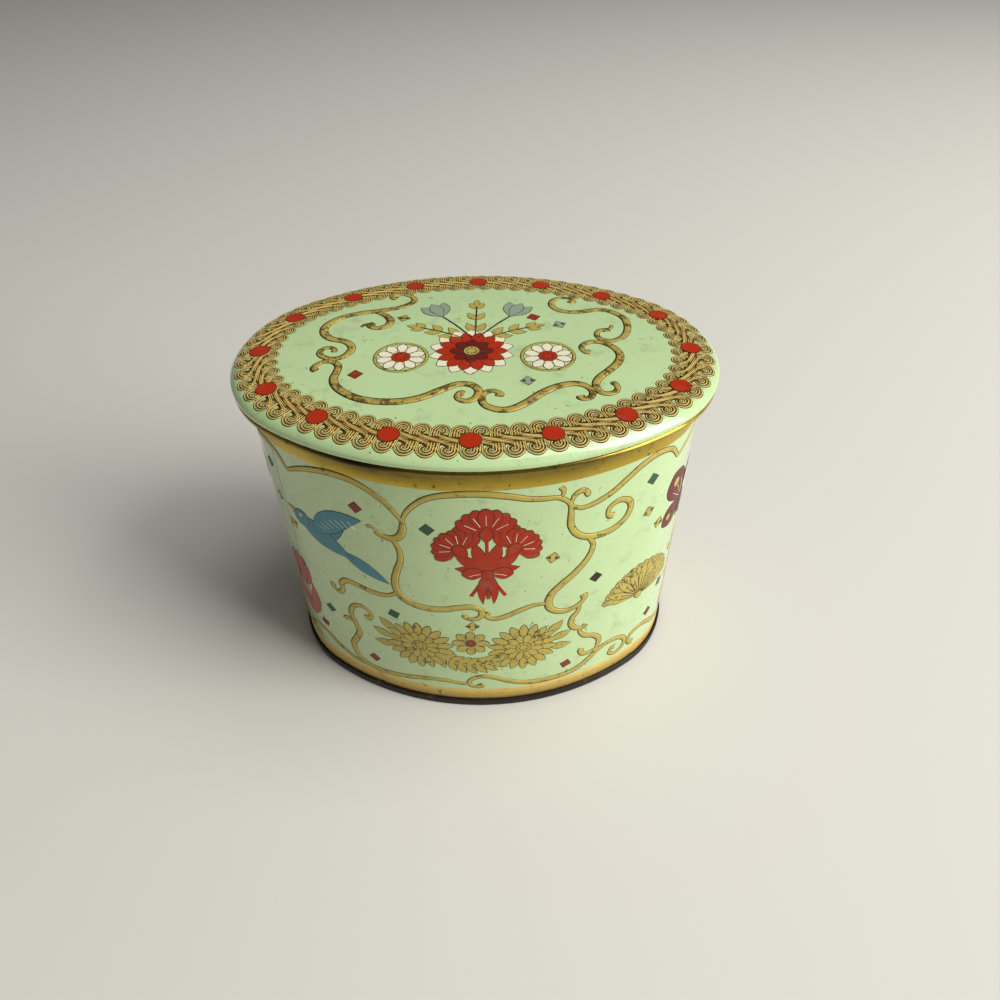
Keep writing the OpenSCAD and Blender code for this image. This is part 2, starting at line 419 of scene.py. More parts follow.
def onBraid(along, inward, rise):
    place = ovalPlace(along, braidSpec["inset"], braidSpec["inset"] + inward)
    place.z = (lidHeight(braidSpec["inset"] + inward) + rise) * mm
    return place


def onWall(along, z, rise):
    place = ovalPlace(along, wallSpec["inset"], wallSpec["inset"] - rise)
    place.z = z * mm
    return place


def atPlace(spot, heading, reach):
    # The place that is so far from a spot, towards a heading in degrees
    turn = radians(heading)
    return (spot[0] + reach * cos(turn), spot[1] + reach * sin(turn))


def newFaces(bm, count):
    bm.faces.ensure_lookup_table()
    return bm.faces[count:]


def addStrokes(bm, lines, ink, swell, flat, smoothness=1):
    # Round strokes along lines of (a, b, half width) in mm, pressed down to low ridges
    curve = bpy.data.curves.new("strokes", "CURVE")
    curve.dimensions = "3D"
    curve.twist_mode = "Z_UP"
    curve.bevel_depth = mm
    curve.bevel_resolution = smoothness
    curve.use_fill_caps = True
    for line in lines:
        spline = curve.splines.new("POLY")
        spline.points.add(len(line) - 1)
        for point, (a, b, half) in zip(spline.points, line):
            point.co = (a * mm, b * mm, 0, 1)
            point.radius = half + swell
    holder = bpy.data.objects.new("strokes", curve)
    mesh = bpy.data.meshes.new_from_object(holder)
    mesh.transform(Matrix.Diagonal((1, 1, flat, 1)))
    count = len(bm.faces)
    bm.from_mesh(mesh)
    for face in newFaces(bm, count):
        face.material_index = inkOrder.index(ink)
        face.smooth = True
    bpy.data.objects.remove(holder)
    bpy.data.curves.remove(curve)
    bpy.data.meshes.remove(mesh)


def addOutlined(bm, lines, ink):
    # A stroke of colour in a thin dark outline
    addStrokes(bm, lines, "umber", strokeSpec["outline"], strokeSpec["outlineFlat"])
    addStrokes(bm, lines, ink, 0, strokeSpec["flat"])


def addPatch(bm, ink, rise, outline, segments=24):
    # A flat patch of ink: outline turns the angle round a circle into a place in mm
    count = len(bm.faces)
    rim = bmesh.ops.create_circle(bm, cap_ends=True, segments=segments, radius=1)["verts"]
    for vert in rim:
        a, b = outline(atan2(vert.co.y, vert.co.x))
        vert.co = Vector((a, b, -strokeSpec["sunk"])) * mm
    made = bmesh.ops.extrude_face_region(bm, geom=newFaces(bm, count), use_keep_orig=True)
    top = [g for g in made["geom"] if isinstance(g, bmesh.types.BMVert)]
    bmesh.ops.translate(bm, verts=top, vec=(0, 0, (rise + strokeSpec["sunk"]) * mm))
    for face in newFaces(bm, count):
        face.material_index = inkOrder.index(ink)


def disc(at, radius, heading=0, teeth=0, depth=0):
    # A round patch, or one of few segments with its first corner towards heading; its edge may have teeth
    return lambda angle: atPlace(at, heading + degrees(angle), radius + depth * cos(teeth * angle))


def petal(at, heading, length, width, full, blunt, bend):
    # A leaf from its root: full moves the widest place to the tip, blunt rounds the ends, bend curves the rib
    def outline(angle):
        along = (1 + cos(angle)) / 2
        swell = max(0.0, sin(pi * along ** full)) ** blunt
        half = width / 2 * swell * copysign(1, sin(angle))
        turn = radians(bend) * along
        rib = radians(heading) + turn / 2
        reach = length * along * (sin(turn / 2) / (turn / 2) if abs(turn) > 1e-4 else 1)
        side = radians(heading) + turn + pi / 2
        return (at[0] + reach * cos(rib) + half * cos(side),
                at[1] + reach * sin(rib) + half * sin(side))
    return outline


def addPetal(bm, ink, rise, at, heading, length, width, full=1.0, blunt=1.0, bend=0.0):
    # A petal with its dark edge just under it
    edge = strokeSpec["petalEdge"]
    back = petal(atPlace(at, heading, -edge), heading, length + 2 * edge, width + 2 * edge, full, blunt, bend)
    addPatch(bm, "key", rise - strokeSpec["layer"], back)
    addPatch(bm, ink, rise, petal(at, heading, length, width, full, blunt, bend))


def addDisc(bm, ink, rise, at, radius):
    addPatch(bm, "key", rise - strokeSpec["layer"], disc(at, radius + strokeSpec["petalEdge"]))
    addPatch(bm, ink, rise, disc(at, radius))


def sliceAcross(bm, spacing, axis):
    # Cuts, so that flat patches can bend round the tin
    spots = [v.co[axis] for v in bm.verts]
    direction = Vector((axis == 0, axis == 1, 0))
    for step in range(floor(min(spots) / spacing) + 1, ceil(max(spots) / spacing)):
        bmesh.ops.bisect_plane(bm, geom=bm.verts[:] + bm.edges[:] + bm.faces[:], dist=strokeSpec["cut"] * mm,
                               plane_co=direction * step * spacing, plane_no=direction)


def layPrint(name, bm, place, body):
    # Lays flat artwork on the tin and keeps the inks that it uses
    for vert in bm.verts:
        vert.co = place(*(vert.co / mm))
    bmesh.ops.recalc_face_normals(bm, faces=bm.faces)
    used = sorted({face.material_index for face in bm.faces})
    for face in bm.faces:
        face.material_index = used.index(face.material_index)
    makePiece(name, bm, [inks[inkOrder[i]] for i in used], body)


inkOrder = list(inks)
# How strokes and patches are made: widths, rises and spacings in mm, and shares of a stroke's width
strokeSpec = {"outline": 0.16, "outlineFlat": 0.04, "flat": 0.12, "lineRise": 0.2, "sunk": 0.05,
              "layer": 0.012, "petalEdge": 0.25, "sliceWall": 3, "sliceLid": 8, "cut": 0.001}

# Gimp braid round the lid: two rows of arched loops, three strands each and a curl inside, and bows of two
# strands that run along the middle and peel off into the loops, with a red dot over every fourth loop
braidSpec = {"inset": 9.3, "dots": 16, "loopsPerDot": 4, "outerCentre": 4.4, "innerCentre": 3.9,
             "loopRadius": 2.8, "strands": 3, "pitch": 0.84, "half": 0.28, "edge": 0.16, "foot": 1.5,
             "stepTurn": 18, "archTurn": 180, "windTurn": 234, "windIn": 0.2, "flats": (0.2, 0.5),
             "curl": ((-0.3, -0.4), (0, 0), (0.25, -0.5)),
             "bowStrands": 2, "bowHalf": 0.23, "lane": 0.72, "cross": 1.9, "bowRoot": 0.4, "bowReach": 0.6,
             "bowSteps": 10, "bowFlats": (0.33, 0.8),
             "ground": 2.4, "groundSteps": 300, "groundFlat": 0.035, "heart": 1.4, "heartFlat": 0.06,
             "dotRadius": 3.2, "dotTeeth": 22, "toothDepth": 0.1, "dotEdge": 0.25, "dotRise": 0.28,
             "dotLayer": 0.03}
braidLength = ovalLength(braidSpec["inset"])
dotPitch = braidLength / braidSpec["dots"]
loopPitch = dotPitch / braidSpec["loopsPerDot"]


def braidLoop(centre):
    # An arch on two legs, those inside it with one leg each, winding inwards to a short curl, then the bows
    arches, bows = [], []
    for strand in range(braidSpec["strands"]):
        radius = braidSpec["loopRadius"] - strand * braidSpec["pitch"]
        steps = round((braidSpec["windTurn"] if strand else braidSpec["archTurn"]) / braidSpec["stepTurn"])
        arch = [(-radius, braidSpec["foot"])]
        for step in range(steps + 1):
            angle = pi - radians(braidSpec["stepTurn"] * step)
            reach = radius - braidSpec["windIn"] * strand * step / steps
            arch.append((reach * cos(angle), centre + reach * sin(angle)))
        arches.append(arch if strand else arch + [(radius, braidSpec["foot"])])
    curl = [(p, centre + q) for p, q in braidSpec["curl"]]
    arches.append([(curl[0][0], braidSpec["foot"])] + curl)
    for strand in range(braidSpec["bowStrands"]):
        side = strand * braidSpec["pitch"] - braidSpec["loopRadius"]
        lane = (strand + 0.5) * braidSpec["lane"]
        places = [(1.5 * loopPitch, lane - braidSpec["cross"]), (0.5 * loopPitch, lane),
                  (side, braidSpec["bowRoot"] * centre), (side, centre + braidSpec["bowReach"])]
        bows.append(interpolate_bezier(*[Vector(place) for place in places], braidSpec["bowSteps"]))
    return arches, bows


hearts, arches, bows = [], [], []
for row, centre, shift in ((-1, braidSpec["outerCentre"], 0), (1, braidSpec["innerCentre"], 0.5)):
    kinds = list(zip((arches, bows), braidLoop(centre), (braidSpec["half"], braidSpec["bowHalf"])))
    for index in range(braidSpec["dots"] * braidSpec["loopsPerDot"]):
        root = (index + shift) * loopPitch
        hearts.append([(root, row * way, braidSpec["heart"]) for way in (0, 0.5 * centre, centre)])
        for found, lines, half in kinds:
            found += [[(root + row * p, row * q, half) for p, q in line] for line in lines]
braid = bmesh.new()
groundStep = braidLength / braidSpec["groundSteps"]
ribbonLine = [(step * groundStep, 0, braidSpec["ground"]) for step in range(braidSpec["groundSteps"] + 1)]
addStrokes(braid, [ribbonLine], "umber", 0, braidSpec["groundFlat"])
addStrokes(braid, hearts, "umber", 0, braidSpec["heartFlat"])
for lines, (edgeFlat, flat) in ((arches, braidSpec["flats"]), (bows, braidSpec["bowFlats"])):
    addStrokes(braid, lines, "umber", braidSpec["edge"], edgeFlat, 0)
    addStrokes(braid, lines, "ecru", 0, flat, 0)
layPrint("lid_braid", braid, onBraid, "lid")

dots = bmesh.new()
for index in range(braidSpec["dots"]):
    middle = (index * dotPitch, 0)
    dotBack = disc(middle, braidSpec["dotRadius"] + braidSpec["dotEdge"])
    dotFace = disc(middle, braidSpec["dotRadius"], 0, braidSpec["dotTeeth"], braidSpec["toothDepth"])
    addPatch(dots, "key", braidSpec["dotRise"] - braidSpec["dotLayer"], dotBack)
    addPatch(dots, "red", braidSpec["dotRise"], dotFace, 4 * braidSpec["dotTeeth"])  # four points to a tooth
layPrint("lid_dots", dots, onBraid, "lid")


def penLine(half, bulbs, places):
    # A smooth line through its places, thin at its ends, with a bulb on each
    pace, thin, taper, bulbShape = 0.8, 0.5, 0.8, (0.75, 1.0, 0.95, 0.75)
    knots = [Vector(place) for place in places]
    knots = [2 * knots[0] - knots[1]] + knots + [2 * knots[-1] - knots[-2]]
    way = []
    for before, start, end, after in zip(knots, knots[1:], knots[2:], knots[3:]):
        steps = max(3, round((end - start).length / pace))
        leave, arrive = (end - before) / 6, (after - start) / 6
        way += interpolate_bezier(start, start + leave, end - arrive, end, steps + 1)[:-1]
    way.append(knots[-2])
    line = []
    for step, place in enumerate(way):
        swell = sin(pi * step / len(way)) ** taper
        line.append([*place, half * (thin + (1 - thin) * swell)])
    for bulb, ends in zip(bulbs, (line, line[::-1])):
        for point, share in zip(ends, bulbShape):
            point[2] = max(point[2], bulb * share)
    return line


# Scrolls round the middle of the lid: half width, bulbs at the two ends, and the places to go through
lidScrolls = [
    (1.47, (1.5, 1.0), [(-30.1, 36.2), (-32, 37.6), (-30.4, 39.5), (-27.2, 39.5), (-24.2, 37.2), (-23.6, 34),
        (-25.6, 30.9), (-29.6, 28.4), (-36.1, 26.5), (-42.6, 24.9), (-48.3, 22.1), (-52.2, 18.1),
        (-53.6, 13.9), (-52.6, 9.6), (-49.7, 6.4), (-45, 4.6), (-42.2, 1.5), (-42, -2), (-44.5, -5.8),
        (-48.5, -6.4), (-51.9, -3.9), (-52, -0.8), (-49.7, 0.7), (-47.6, -0.6), (-47.4, -2.6)]),
    (1.36, (0, 1.5), [(-39, 26), (-35.4, 24.9), (-32.4, 22.2), (-30.6, 18.6), (-31.6, 15), (-35, 13.4),
        (-37.8, 15.2), (-36.2, 17)]),
    (0.6, (0, 0), [(-37.5, 16.5), (-39.3, 16.3), (-40.6, 14.4)]),
    (1.58, (1.3, 1.4), [(-51.6, -13.8), (-52.7, -11.4), (-50.6, -8.6), (-47.2, -8.3), (-44.7, -10.8),
        (-44.6, -14.5), (-45.1, -18), (-43.9, -22), (-40.8, -25.8), (-35.4, -29.4), (-29, -31.1),
        (-21.9, -31.1), (-15.4, -29), (-9.7, -25.1), (-4.7, -22.2), (-0.4, -22.8), (1.8, -26), (0.8, -29.9),
        (-2.2, -31.4), (-4.7, -29.7), (-4.2, -27.2), (-2.4, -27.4)]),
    (1.47, (1.4, 1.5), [(8.2, -29.2), (8.4, -27.2), (6, -26), (3.6, -27.4), (2.8, -30.4), (4.2, -33.8),
        (8.2, -35.8), (12.4, -35.3), (17, -32), (21.5, -27.4), (26.6, -23.8), (31.7, -22.2), (35.6, -23.4),
        (37.5, -26.6), (36.6, -29.6), (34.2, -30.2), (33.4, -28.6)]),
    (1.36, (1.4, 1.1), [(39, -3.8), (36.9, -3.2), (36, -0.6), (37.8, 2.1), (41, 3.1), (44.6, 1.7),
        (47.4, -1.5), (48.5, -5.8), (47.1, -10.4), (43.9, -14.7), (40.3, -19), (38.9, -22.6), (39.4, -26),
        (41.9, -27.6), (44.8, -26.4), (45.6, -23.6), (44.2, -21.2)]),
    (1.3, (1.4, 1.4), [(33.9, 31.6), (35.8, 33.2), (34.4, 35.5), (31, 35.9), (28.1, 33.6), (27.4, 29.9),
        (29.4, 26.2), (33.9, 24.3), (38.9, 24.9), (44.6, 26.4), (48.9, 24.9), (52.4, 21), (53.5, 16),
        (52.8, 10.3), (50.6, 6), (47.2, 3.8), (43.8, 4.4), (42, 7.2), (42.9, 10.4), (45.2, 11.4),
        (45.9, 9.8)]),
    (0.6, (0, 0), [(46, 11.6), (47.4, 12.6), (48, 14.8)])]
scrolls = bmesh.new()
addOutlined(scrolls, [penLine(*spec) for spec in lidScrolls], "wornGold")
layPrint("lid_scrolls", scrolls, onLid, "lid")

# Scrolls of the wall, from the left of the front panel to its right, as a set that goes round three times
panelSpec = {"sets": 3}
setWidth = ovalLength(wallSpec["inset"]) / panelSpec["sets"]
wallScrolls = [
    # arches under the gold band
    (1.24, (0, 0), [(-66.2, 105.8), (-59.3, 109.4), (-52.1, 111.9), (-45, 113), (-37.9, 112.3),
        (-31.6, 109.2), (-26.6, 104.8), (-23.2, 99.6)]),
    (1.24, (0, 0), [(-23, 99.5), (-20.9, 104), (-16.4, 108.9), (-11.1, 111.6), (-3.9, 112.8), (3.2, 112.8),
        (10.9, 111.4), (17.1, 109.6), (22.5, 108.7), (27, 108), (30.6, 105)]),
    (1.24, (0, 0), [(31.2, 103.4), (35, 101.6), (39.5, 102.1), (45.7, 104.5), (51.1, 108), (56.4, 111.1),
        (63.6, 112.8), (70, 111.2), (74.4, 105.8)]),
    (1.02, (0, 1.3), [(31, 104.6), (32.2, 107.8), (34.8, 109), (36.6, 107.4), (35.6, 106.6)]),
    (0.7, (0, 0.9), [(27.8, 108.2), (28.4, 110.6), (27.2, 112.4)]),
    # left divider, its hook, and its arms
    (1.36, (0, 1.5), [(-22.9, 100.5), (-23, 96), (-24.6, 92.2), (-27.6, 90.6), (-30.8, 91.2), (-32.6, 93)]),
    (0.6, (0, 0), [(-33, 93.4), (-34.6, 94.2), (-36, 93.6)]),
    (1.47, (0, 1.0), [(-27.4, 90.6), (-25.4, 86), (-25.4, 80.8), (-27.1, 75.5), (-28.5, 70.1), (-28.4, 65.2),
        (-26.3, 61.2), (-22.3, 58.7), (-17, 57.8), (-11.5, 58.2), (-6.6, 59.6), (-2, 60.1), (1.2, 58.2),
        (1.2, 55.2), (-1.4, 53.4), (-4.2, 54.2), (-4.6, 56)]),
    (1.24, (0, 1.2), [(-28.4, 63.6), (-32.1, 60.9), (-37.9, 60.2), (-44.1, 61.2), (-49, 61.4), (-51.8, 58.6),
        (-51.9, 55), (-53.8, 52.7), (-56.3, 53.8), (-56.3, 56.4)]),
    # right divider, its large curl, and its arm
    (1.36, (0, 1.4), [(28.4, 107.6), (31, 104), (31.3, 99.6), (31.5, 95.1), (33.7, 90.6), (37.7, 87.6),
        (43, 86.6), (48.4, 87.5), (52.6, 90.4), (54, 94.8), (52.2, 98.4), (48.4, 99.6), (45.2, 97.6),
        (45.2, 94.6), (47.4, 93.6)]),
    (1.47, (0, 1.5), [(38.6, 87), (40.4, 82.6), (39, 77.3), (35, 71.9), (30.1, 67.4), (26.5, 63.4),
        (25.2, 59.2), (26, 55.2), (29.2, 52.6), (33, 51.8), (36.8, 53.2), (39.2, 56), (38.4, 58.4)]),
    (1.13, (0, 1.0), [(25.2, 58.4), (19.8, 58.6), (14.5, 56.7), (9.1, 54.1), (5.2, 53.5), (2.9, 55.2),
        (4, 57.2)]),
    # lower dividers
    (1.24, (0, 1.4), [(37.4, 53), (37, 49.8), (35, 46.8), (34.6, 43), (36.4, 40), (39.4, 38.8), (41, 40.2)]),
    (1.24, (0, 0), [(38.4, 38.6), (38.8, 36.2), (41, 33.2), (44.8, 31.2), (47.4, 28), (47.5, 24.4),
        (46.2, 19.6)]),
    (1.13, (0, 1.4), [(46.4, 22.2), (44, 21.2), (41, 21.6), (39.6, 24), (40.2, 25.6)]),
    (1.02, (0, 1.0), [(-49.6, 37), (-52.6, 38.4), (-54.6, 36.6)]),
    # scrolls over the foot
    (1.36, (1.4, 0), [(-43.9, 43.4), (-41.4, 44.4), (-41.2, 47.4), (-44.6, 49.4), (-48.4, 47.6),
        (-50.4, 42.4), (-49.2, 37.4), (-48.2, 32.4), (-50.2, 27.4), (-52.5, 22.6), (-52, 17.2), (-49, 13.4),
        (-44.1, 11.8), (-37, 11.8), (-28.9, 13), (-20.9, 14.6), (-13.8, 14.7), (-8, 13.7), (-4.2, 13.4)]),
    (1.36, (1.4, 1.4), [(1, 13), (-1.2, 11.7), (-3.8, 12.4), (-4.4, 15), (-2.6, 17.4), (1.4, 18.6),
        (5.6, 17.4), (10, 15.2), (15.4, 12.9), (21.6, 11.8), (27.9, 11.7), (34.1, 12.2), (39.5, 13.8),
        (43.9, 17), (47.4, 20.2), (51.6, 22), (56, 22), (59.9, 20.2), (61.5, 16.8), (60, 13.4), (56.6, 12.2),
        (54, 14), (54.6, 16.6), (56.6, 16.8)]),
    (1.24, (1.4, 0), [(66.6, 12.8), (64, 13.6), (63.5, 16.4), (65.6, 19.2), (69.8, 20.1), (75, 18.2),
        (81, 14.4), (87, 12.3), (93, 11.7)])]
wallLines = [penLine(*spec) for spec in wallScrolls]
frames = []
for turn in range(panelSpec["sets"]):
    frames += [[(a + turn * setWidth, b, half) for a, b, half in line] for line in wallLines]
scrolls = bmesh.new()
addOutlined(scrolls, frames, "gold")
layPrint("wall_scrolls", scrolls, onWall, "tin_body")

# The side seam shows outside as one fine dark line: a painted shadow of its gap, in key ink
lockAlong = sideTurn / 2 * (sideRadius / mm - wallSpec["inset"])
lockAlong += (joinAngle - radians(lockSpec["angle"])) * (endRadius / mm - wallSpec["inset"])
seamAlong = lockSpec["width"] / 2 - lockAlong
seamShadowPlaces = [(seamAlong, z, lockSpec["shadowHalf"]) for z in range(lockSpec["low"], wallSpec["bandTop"])]
seamShadow = bmesh.new()
addStrokes(seamShadow, [seamShadowPlaces], "key", 0, lockSpec["shadowFlat"])
layPrint("wall_seam_shadow_line", seamShadow, onWall, "tin_body")


# Flowers, birds and the like, drawn from petals, discs and strokes. Places and sizes are in mm.
def straight(start, end, half, steps=12):
    start, end = Vector(start), Vector(end)
    return [(*start.lerp(end, step / steps), half) for step in range(steps + 1)]


def addRay(strokes, ink, spot, heading, reaches, scale, half=0.15, swing=0):
    # A fine line out from a spot, which swings by so many degrees for each mm of its reach
    line = [(*atPlace(spot, heading + swing * reach, reach * scale), half) for reach in reaches]
    strokes[ink].append(line)


def addRosette(bm, spot, rows, heart):
    # Rows of petals from the outside in: ink, count, root radius, length and width; then the heart's ink
    # and radius
    rise, lift, layer = 0.06, 0.025, 0.05  # of the first row, of every other petal, and of the next row
    full, blunt = 1.5, 0.75
    seeds, seedRing, seedSize, seedRise = 8, 0.62, 0.13, 0.015
    for turn, (ink, count, root, length, width) in enumerate(rows):
        for index in range(count):
            heading = 360 * (index + 0.5 * turn) / count + 90
            foot = atPlace(spot, heading, root)
            addPetal(bm, ink, rise + lift * (index % 2), foot, heading, length, width, full, blunt)
        rise += layer
    ink, radius = heart
    addDisc(bm, ink, rise, spot, radius)
    for index in range(seeds):
        seed = atPlace(spot, 360 * index / seeds, radius * seedRing)
        addPatch(bm, "key", rise + seedRise, disc(seed, radius * seedSize), 8)


def addSprig(bm, strokes, ink, spot, heading, length, bend, leaves, leafLength, leafWidth):
    # A stem with pairs of leaves along it and one at its tip
    steps, half, rise, tipRise = 24, 0.3, 0.07, 0.075
    first, span = 4, 18  # steps of the stem from its foot to the first leaves, and from those to the last
    shrink, leafTurn, leafFull, leafBend = 0.35, 42, 0.9, 25
    line, place, angle = [], spot, heading
    for step in range(steps + 1):
        line.append((*place, half))
        angle += bend / steps
        place = atPlace(place, angle, length / steps)
    strokes["key"].append(line)
    for index in range(leaves):
        step = first + index * span // max(1, leaves - 1)
        here = heading + bend * step / steps
        size = 1 - shrink * index / leaves
        for side in (-1, 1):
            addPetal(bm, ink, rise, line[step][:2], here + side * leafTurn, leafLength * size,
                     leafWidth * size, leafFull, bend=-side * leafBend)
    addPetal(bm, ink, tipRise, line[-1][:2], heading + bend, leafLength * 0.8, leafWidth * 0.7)


def addLozenges(bm, spots):
    # Lozenges with a dark edge, and in some inks with dark facets in two of the corners
    size, rise, edge, edgeRise = 2.35, 0.07, 0.33, 0.04
    facetInks, facetReach, facetSize, facetRise = ("gold", "grey"), 0.55 * size, 0.4 * size, 0.08
    for a, b, ink, heading in spots:
        addPatch(bm, "key", edgeRise, disc((a, b), size + edge, heading), 4)
        addPatch(bm, ink, rise, disc((a, b), size, heading), 4)
        for corner in (heading, heading + 180) if ink in facetInks else ():
            facet = disc(atPlace((a, b), corner, facetReach), facetSize, corner - 90)
            addPatch(bm, "key", facetRise, facet, 3)


def finishMotif(name, bm, strokes, place, spacings, body):
    for axis, spacing in enumerate(spacings):
        sliceAcross(bm, spacing * mm, axis)
    for ink, lines in strokes.items():
        if ink == "gold":
            addOutlined(bm, lines, ink)
            continue
        fine = ink in ("key", "cream")
        flat = strokeSpec["lineRise"] / lines[0][0][2] if fine else strokeSpec["flat"]
        addStrokes(bm, lines, ink, 0, flat)
    layPrint(name, bm, place, body)


# Middle of the lid: a large red and cream blossom, two smaller ones in gold rings, gold leaves and grey buds
lidFlowers = {"middle": (-1, -2.5), "side": (24.5, -6), "bud": (12, 21), "stemHalf": 0.35, "stemSteps": 16,
              "ring": 8.7, "ringHalf": 0.5, "ringSteps": 48}
flowers, strokes = bmesh.new(), defaultdict(list)
for side in (-1, 1):
    sideSpot = (side * lidFlowers["side"][0], lidFlowers["side"][1])
    budSpot = (side * lidFlowers["bud"][0], lidFlowers["bud"][1])
    addSprig(flowers, strokes, "gold", (side * 4, 6), 90 - side * 56, 17, -side * 16, 3, 6.6, 3.0)
    stem = []
    for step in range(lidFlowers["stemSteps"] + 1):
        way = step / lidFlowers["stemSteps"]
        stem.append((side * (1 + 11 * way), 6 + 18 * way - 3 * way * way, lidFlowers["stemHalf"]))
    strokes["key"].append(stem)
    for spread in (24, -24, 0):
        rise = 0.1 - 0.001 * abs(spread)
        addPetal(flowers, "grey", rise, budSpot, 90 - side * 25 + spread, 11, 4.6, 1.2, 0.9)
    addRosette(flowers, sideSpot, [("cream", 10, 2.3, 5.8, 3.3)], ("red", 3.0))
    turn = 360 / lidFlowers["ringSteps"]
    ring = [atPlace(sideSpot, turn * i, lidFlowers["ring"]) for i in range(lidFlowers["ringSteps"] + 1)]
    strokes["gold"].append([(*place, lidFlowers["ringHalf"]) for place in ring])
addSprig(flowers, strokes, "gold", (0, 7), 90, 22, 0, 3, 6.5, 3)
petalRows = [("cream", 14, 5, 9.2, 4.6), ("red", 14, 3.5, 8.4, 4), ("darkRed", 8, 1.5, 5.8, 3.6)]
addRosette(flowers, lidFlowers["middle"], petalRows, ("gold", 2.6))
finishMotif("lid_flowers", flowers, strokes, onLid, (strokeSpec["sliceLid"],) * 2, "lid")

# Loose lozenges on the lid
lidLozenges = [(-38.3, -16.1, "brick", 8), (-26, 20.5, "gold", -10), (17.5, -20.5, "grey", 4),
               (20.5, 20.5, "brick", 14), (29.5, 15, "grey", 22)]
lozenges = bmesh.new()
addLozenges(lozenges, lidLozenges)
layPrint("lid_lozenges", lozenges, onLid, "lid")


def addBouquet(bm, strokes, ink, spot, scale, lean):
    # Three fan-shaped blossoms with leaves, tied with a bow
    for turn in (-28, 0, 28):
        strokes[ink].append(straight(spot, atPlace(spot, 270 + lean + turn, 14 * scale), 0.7))
    root = atPlace(spot, 90, 3 * scale)
    for turn, reach, bend in ((72, 15, 35), (102, 12, 25), (28, 15, 20)):
        for side in (1, -1):
            addPetal(bm, ink, 0.06, root, 90 - side * turn + lean, reach * scale, 4.8 * scale, full=0.9,
                     bend=side * bend)
    for turn, reach, size in ((38, 16, 0.9), (-38, 16, 0.9), (0, 21, 1.05)):
        heading = 90 + turn + lean
        top = atPlace(spot, heading, reach * scale)
        strokes[ink].append(straight(spot, top, 0.6))
        for fan in (-4, 4, -3, 3, -2, 2, -1, 1, 0):  # each petal over the one outside it
            addPetal(bm, ink, 0.144 - 0.016 * abs(fan), top, heading + 20 * fan, 11.5 * scale * size,
                     5.4 * scale * size, 1.7, 0.6)
        cup = atPlace(top, heading, -4 * scale)
        addPetal(bm, ink, 0.17, cup, heading, 7.5 * scale, 4.6 * scale, blunt=0.8)
        for fan in (-60, -30, 0, 30, 60):
            addRay(strokes, "cream", top, heading + fan, (4, 5.5, 7, 8.5), scale * size, half=0.16)
    for side in (-1, 1):
        addPetal(bm, ink, 0.1, spot, 270 - side * 22, 17 * scale, 3.6 * scale, 0.7, 0.8, side * 30)
        addPetal(bm, ink, 0.13, spot, 90 + side * 76, 9.5 * scale, 6 * scale, 1.5, 0.7, side * 30)
        addRay(strokes, "cream", spot, 90 + side * 78, (2.5, 4, 5.5, 7), scale, half=0.16, swing=side * 3)
    addDisc(bm, ink, 0.16, spot, 2.2 * scale)


def addSwallow(bm, strokes, ink, spot, scale, flip):
    # A bird on the wing, which flies to the left where flip is -1
    def way(heading):
        return heading if flip > 0 else 180 - heading

    tail = atPlace(spot, way(205), 8 * scale)
    for heading, bend in ((196, 26), (214, -10)):
        addPetal(bm, ink, 0.06, tail, way(heading), 21 * scale, 4 * scale, full=0.8, bend=flip * bend)
    farWing = atPlace(spot, way(22), -2 * scale)
    addPetal(bm, ink, 0.075, farWing, way(98), 22 * scale, 8.5 * scale, 0.8, 0.85, flip * 50)
    rump = atPlace(spot, way(205), 13 * scale)
    addPetal(bm, ink, 0.1, rump, way(22), 27 * scale, 9.5 * scale, 1.25, 0.8, flip * 8)
    addDisc(bm, ink, 0.11, atPlace(spot, way(26), 11.5 * scale), 3.8 * scale)
    beak = atPlace(spot, way(26), 14 * scale)
    addPetal(bm, "gold", 0.09, beak, way(18), 5.5 * scale, 2.2 * scale, full=0.8)
    shoulder = atPlace(spot, way(22), 4 * scale)
    addPetal(bm, ink, 0.13, shoulder, way(122), 27 * scale, 9.5 * scale, 0.8, 0.85, flip * 48)
    for index in range(7):
        root = atPlace(shoulder, way(126 + 3.4 * index), (5 + 2.6 * index) * scale)
        addRay(strokes, "cream", root, way(196 + 6 * index), (-1.4, 0, 1.4, 2.8), scale)
    addPatch(bm, "cream", 0.13, disc(atPlace(spot, way(30), 12.3 * scale), 0.8 * scale), 10)


def addTulip(bm, strokes, ink, spot, scale, lean):
    # One flower of three petals, on a stem with two leaves
    up = 90 + lean
    root = atPlace(spot, up + 180, 17 * scale)
    strokes[ink].append(straight(root, spot, 0.7))
    for side in (-1, 1):
        addPetal(bm, ink, 0.07, root, up - side * 34, 22 * scale, 6 * scale, full=0.8, bend=side * 36)
        addPetal(bm, ink, 0.09, spot, up - side * 24, 17 * scale, 8 * scale, 0.8, 0.8, side * 24)
        addRay(strokes, "key", spot, up - side * 14, (5, 8, 11, 13), scale)
    addPetal(bm, ink, 0.12, spot, up, 17 * scale, 8 * scale, 0.85, 0.8)


def addFan(bm, strokes, ink, spot, scale, lean):
    # An open folding fan with its ribs and a scalloped edge
    headings = [90 + lean + 11 * step for step in range(-7, 8)]
    for index, heading in enumerate(headings):
        addDisc(bm, ink, 0.05 + 0.02 * (index % 2), atPlace(spot, heading, 23.5 * scale), 2.6 * scale)
    for index, heading in enumerate(headings):
        addPetal(bm, ink, 0.1 + 0.02 * (index % 2), spot, heading, 25 * scale, 4.9 * scale, 1.7, 0.8)
        addRay(strokes, "key", spot, heading, (3, 7, 11, 15), scale, half=0.2)
    addDisc(bm, ink, 0.15, spot, 2.4 * scale)


